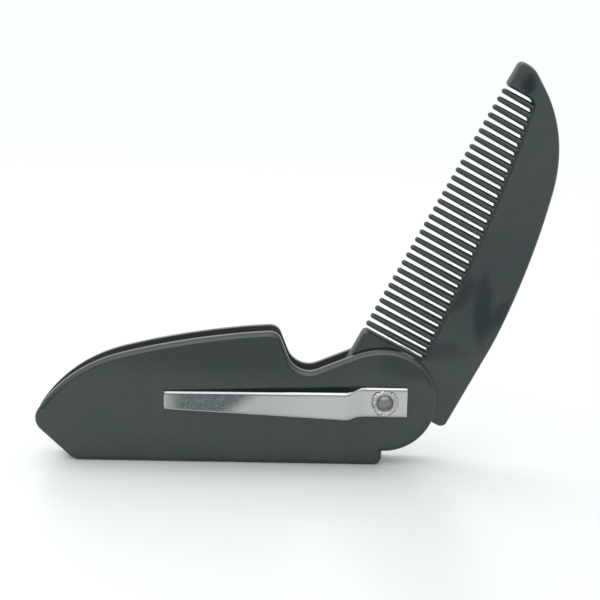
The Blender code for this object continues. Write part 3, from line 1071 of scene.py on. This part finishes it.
def rivet_profile():
    """(radius, height) along the half section: a half ellipse for the roll, a quarter for the head."""
    seat = handle_half_thickness + 2 * clip_seat_gap + 2 * clip_half_thickness
    back = -handle_half_thickness - clip_seat_gap
    top = seat + rivet_roll_height
    share = np.linspace(centre_share, 1, disc_points)
    disc_height = top - disc_drop - disc_dome * share**2
    disc = np.column_stack((share * rivet_disc_radius, disc_height))
    groove_floor = top - groove_depth
    groove_edges = (rivet_disc_radius + groove_slant, bore_radius)
    groove = [[radius, groove_floor] for radius in groove_edges]
    roll_angle = np.linspace(math.pi, 0, roll_points)
    middle = (roll_radius + bore_radius) / 2
    half = (roll_radius - bore_radius) / 2
    roll_height = seat + rivet_roll_height * np.sin(roll_angle) ** roll_power
    roll = np.column_stack((middle + half * np.cos(roll_angle), roll_height))
    head_angle = np.linspace(0, math.pi / 2, head_points)
    head_dome = rivet_head_height - head_rim
    head_height = back - head_rim - head_dome * np.sin(head_angle)
    head = np.column_stack((head_radius * np.cos(head_angle), head_height))
    head[-1, 0] = centre_share * rivet_disc_radius
    shank = [[shank_radius, seat], [shank_radius, back], [head_radius, back]]
    return np.vstack((disc, groove, roll, shank, head))


print("rivet profile", len(rivet_profile()), "points")

# %% Rivet
rivet_steps = 180
disc_shift = 0.00010
# Waves round the ring: how many, their phase, and their height in wave_depths
rivet_waves = ((3, 0.7, 0.45), (7, 2.1, 0.30), (13, 4.0, 0.25), (22, 1.3, 0.20))
wave_depth = 0.00016
wave_level = 0.9
# Small nicks in the edge, in degrees round the ring
nick_angles = (28, 61, 118, 158, 214, 305)
nick_width = math.radians(4)
nick_depth = 1.5


def edge_waves(angle):
    """Sum of height * sin(count * angle + phase), less a narrow bell curve at each nick."""
    waves = sum(height * np.sin(count * angle + phase) for count, phase, height in rivet_waves)
    nicks = np.radians(nick_angles)[:, None]
    from_nick = (angle[None] - nicks + math.pi) % math.tau - math.pi
    return waves - nick_depth * np.exp(-((from_nick / nick_width) ** 2)).sum(axis=0)


def make_rivet():
    """The profile turned round the hinge's axis, with waves, and the disc a little off centre."""
    profile = rivet_profile()
    angle = even_angles(rivet_steps)
    waves = edge_waves(angle)[None] - wave_level
    out = (profile[:, 0] - shank_radius) / (roll_radius - shank_radius)
    on_roll = np.clip(out, 0, 1) * (profile[:, 1] > handle_half_thickness)
    radius = profile[:, 0:1] + wave_depth * on_roll[:, None] * waves
    shift = disc_shift * (np.arange(len(profile)) < disc_points)[:, None]
    x = radius * np.cos(angle)
    y = -profile[:, 1:2] + 0 * radius
    z = radius * np.sin(angle) + shift
    rings = np.stack((x, y, z), axis=-1)
    rivet = placed("rolled_rivet", closed_mesh("rolled_rivet", rings[None]))
    smooth(rivet, 50)
    dress(rivet, rivet_steel)
    return rivet


rivet = make_rivet()
print("rivet faces", len(rivet.data.polygons))

# %% [markdown]
# ## Putting the pieces on their bodies
#
# The blade rides on the body that turns, and the rest rides on the grip. Each piece stands for the
# solid of the same shape, which stays in the physics model.

# %% Bodies
for piece, body, cad_node, slot in (
    (handle, "grip", "handle", "handle_plastic"),
    (blade, "comb", "comb_blade", "blade_plastic"),
    (clip, "grip", "pocket_clip", "clip_steel"),
    (rivet, "grip", "pivot_rivet", "rivet_steel"),
):
    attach(piece, body)
    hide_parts(cad_node)
    low, high = np.array(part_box(cad_node))
    points = np.empty(3 * len(piece.data.vertices), np.float32)
    piece.data.vertices.foreach_get("co", points)
    points = points.reshape(-1, 3)
    room = np.concatenate((points.min(axis=0) - low, high - points.max(axis=0)))
    print(piece.name, "inside its solid by", (room * 1000).round(2), "mm")

# %% [markdown]
# ## White sheet
#
# The comb stands on a white sheet. It turns to plain white in the distance, for the camera and in
# mirrors, so that there is no horizon. A glossy dark face shows whatever lies in front of it, out
# of the picture. Painted shade on the sheet there, dark ellipses standing in for the shade in front
# of the comb, gives the soft dark shapes on the handle and the blade: painted reflections. Only
# mirrored rays meet it, so it doesn't show when the comb is seen from another side.

# %% Painted shade for mirrors
shade_edge = 1.0
shade_core = 0.5
# Painted shade on the sheet for the plastic to mirror: centre, half lengths, turn and depth of each
# dark ellipse
painted_shades = (
    ((0.000, -0.145), (0.064, 0.056), 0.0, 0.50),
    ((0.056, -0.118), (0.018, 0.020), 0.0, 0.50),
    ((0.0845, -0.190), (0.0040, 0.082), 0.138, 0.85),
    ((0.0785, -0.206), (0.0050, 0.044), 0.233, 0.90),
    ((0.0870, -0.168), (0.0038, 0.036), 0.284, 0.75),
    ((0.095, -0.230), (0.080, 0.150), 0.0, 0.32),
    ((0.150, -0.520), (0.090, 0.300), 0.25, 0.16),
)


def light_left(tree, place, centre, radii, turn, depth):
    """The share of light that a patch of painted shade leaves: 1 outside its ellipse, 1 - depth in its
    core.
    """
    inputs = {"Vector": place, "Location": (*centre, 0), "Rotation": (0, 0, turn), "Scale": (*radii, 1)}
    inside = node(tree, "ShaderNodeMapping", {"vector_type": "TEXTURE"}, inputs)
    return 1 - ramp(tree, length(tree, inside), shade_edge, shade_core) * depth


print("painted_shades", len(painted_shades))

# %% White sheet
sheet_half = 10.0
white_from = 0.30
white_to = 0.80
paper_white = (0.745875, 0.765, 0.765)
paper_roughness = 0.32
distant_white = (0.965, 1, 1, 1)


def white_sheet():
    """Satin paper that fades into a plain white glow with distance, with painted shade for mirrored
    rays.
    """
    material, tree = new_material("white_sheet")
    place = node(tree, "ShaderNodeTexCoord", output="Object")
    far = ramp(tree, length(tree, place), white_from, white_to)
    mirrored = ray(tree, "Glossy")
    seen = mirrored + ray(tree, "Camera") + ray(tree, "Transmission")
    # Painted shade: dark ellipses darken the sheet for mirrored rays only, giving painted reflections
    # on the plastic
    left = math.prod(light_left(tree, place, *painted_shade) for painted_shade in painted_shades)
    left = 1 - mirrored * (1 - left)
    colour = mix_colour(tree, left, (0, 0, 0), paper_white)
    gloss = {"Base Color": colour, "Roughness": paper_roughness, "IOR": 1.45}
    near = node(tree, "ShaderNodeBsdfPrincipled", None, gloss)
    glow = node(tree, "ShaderNodeEmission", None, {"Color": distant_white, "Strength": 1.0})
    mixed = node(tree, "ShaderNodeMixShader", None, {0: far * seen, 1: near, 2: glow})
    node(tree, "ShaderNodeOutputMaterial", None, {"Surface": mixed})
    return material


def staged(name, points, material):
    """One flat face that belongs to the stage and not to the comb."""
    mesh = bpy.data.meshes.new(name)
    mesh.from_pydata(points, [], [tuple(range(len(points)))])
    mesh.materials.append(material)
    made = bpy.data.objects.new(name, mesh)
    bpy.context.scene.collection.objects.link(made)


sheet_corners = sheet_half * np.array([[-1, -1, 0], [1, -1, 0], [1, 1, 0], [-1, 1, 0]])
staged("sheet", sheet_corners, white_sheet())
print("sheet", 2 * sheet_half, "m wide")

# %% [markdown]
# ## Dark disc
#
# The blade's tip is nearly level with the camera, so it mirrors a place above the sheet, beside the
# camera. A small upright disc hangs there and gives the dark spot on the tip. It is black to
# mirrored rays and clear to all others, so it casts no shadow and never shows by itself.

# %% Dark disc
dark_place = (0.1232, -0.3600, 0.0672)
dark_radii = (0.0034, 0.0048)
dark_points = 48


def black_in_mirrors():
    """Near black where a mirrored ray meets it, and clear everywhere else."""
    material, tree = new_material("dark_thing")
    black = {"Base Color": (0.004, 0.004, 0.005, 1), "Roughness": 0.9}
    matt = node(tree, "ShaderNodeBsdfPrincipled", None, black)
    clear = node(tree, "ShaderNodeBsdfTransparent")
    mixed = node(tree, "ShaderNodeMixShader", None, {0: ray(tree, "Glossy"), 1: clear, 2: matt})
    node(tree, "ShaderNodeOutputMaterial", None, {"Surface": mixed})
    return material


edge = unit_circle(dark_points) * (dark_radii[0], 0, dark_radii[1]) + dark_place
staged("dark_thing", edge, black_in_mirrors())
print("disc", [round(radius * 2000, 1) for radius in dark_radii], "mm")

# %% [markdown]
# ## White room
#
# The room is the only light. Mirrored rays see it pale all round and dim at the horizon in front,
# where the camera stands, with a bright softbox above. A face that turns into its rounded rim
# mirrors first the dim band and then the softbox, which draws the thin dark line inside every light
# edge, and the light edge itself. A broad light overhead, with a lamp in its middle, gives the
# steel its highlights and the comb its shadow.
#
# Lamps could be set up instead, but a glossy object shows each one as a shape. Here one sum of
# smooth steps says what each direction holds. Rays that light matt surfaces meet dimmer sides,
# which keeps the shadow. The camera's own rays meet plain white, from every side.

# %% White room
side_glow = 0.85
side_light = 0.22
horizon_glow = 0.42
softbox_glow = 2.35
overhead_glow = 1.7
lamp_glow = 3.4
room_tint = (0.98, 1, 1, 1)
# Where each step lies, on the direction's own Y for the front, Z for the band, X for the softbox
front_from = -0.35
front_to = -0.75
band_from = 0.18
band_to = 0.45
softbox_edge = 0.50
softbox_core = 0.20
overhead = (-0.20, 0.26, 0.945)
# Each light overhead: its glow, and the cosines at its edge and at its core
lights = ((overhead_glow, 0.38, 0.82), (lamp_glow, 0.94, 0.99))


def white_room():
    """A world that is pale all round, dim at the horizon in front, and brightest overhead."""
    room = bpy.data.worlds.new("white_room")
    room.use_nodes = True
    tree = room.node_tree
    tree.nodes.clear()
    direction = node(tree, "ShaderNodeTexCoord", output="Generated")
    in_front = ramp(tree, along_axis(tree, direction, "Y"), front_from, front_to)
    above = ramp(tree, along_axis(tree, direction, "Z"), band_from, band_to)
    middle = ramp(tree, abs(along_axis(tree, direction, "X")), softbox_edge, softbox_core)
    front = overhead_glow + middle * (softbox_glow - overhead_glow)
    front = horizon_glow + above * (front - horizon_glow)
    glow = side_glow + in_front * (front - side_glow)
    glow = glow + ray(tree, "Diffuse") * (side_light - glow)
    dot = {"operation": "DOT_PRODUCT"}
    cosine = node(tree, "ShaderNodeVectorMath", dot, {0: direction, 1: overhead}, "Value")
    for level, edge, core in lights:
        share = ramp(tree, cosine, edge, core)
        glow = glow * (1 - share) + share * level
    glow = glow + ray(tree, "Camera") * (1 - glow)
    shine = node(tree, "ShaderNodeBackground", None, {"Color": room_tint, "Strength": glow})
    node(tree, "ShaderNodeOutputWorld", None, {"Surface": shine})
    return room


bpy.context.scene.world = white_room()
bpy.context.scene.view_settings.view_transform = "Standard"
print("room made with", len(bpy.context.scene.world.node_tree.nodes), "nodes")

# %% [markdown]
# ## Sizes
#
# The box of the packed model and the box of what was made over it agree to a few hundredths of a
# millimetre.
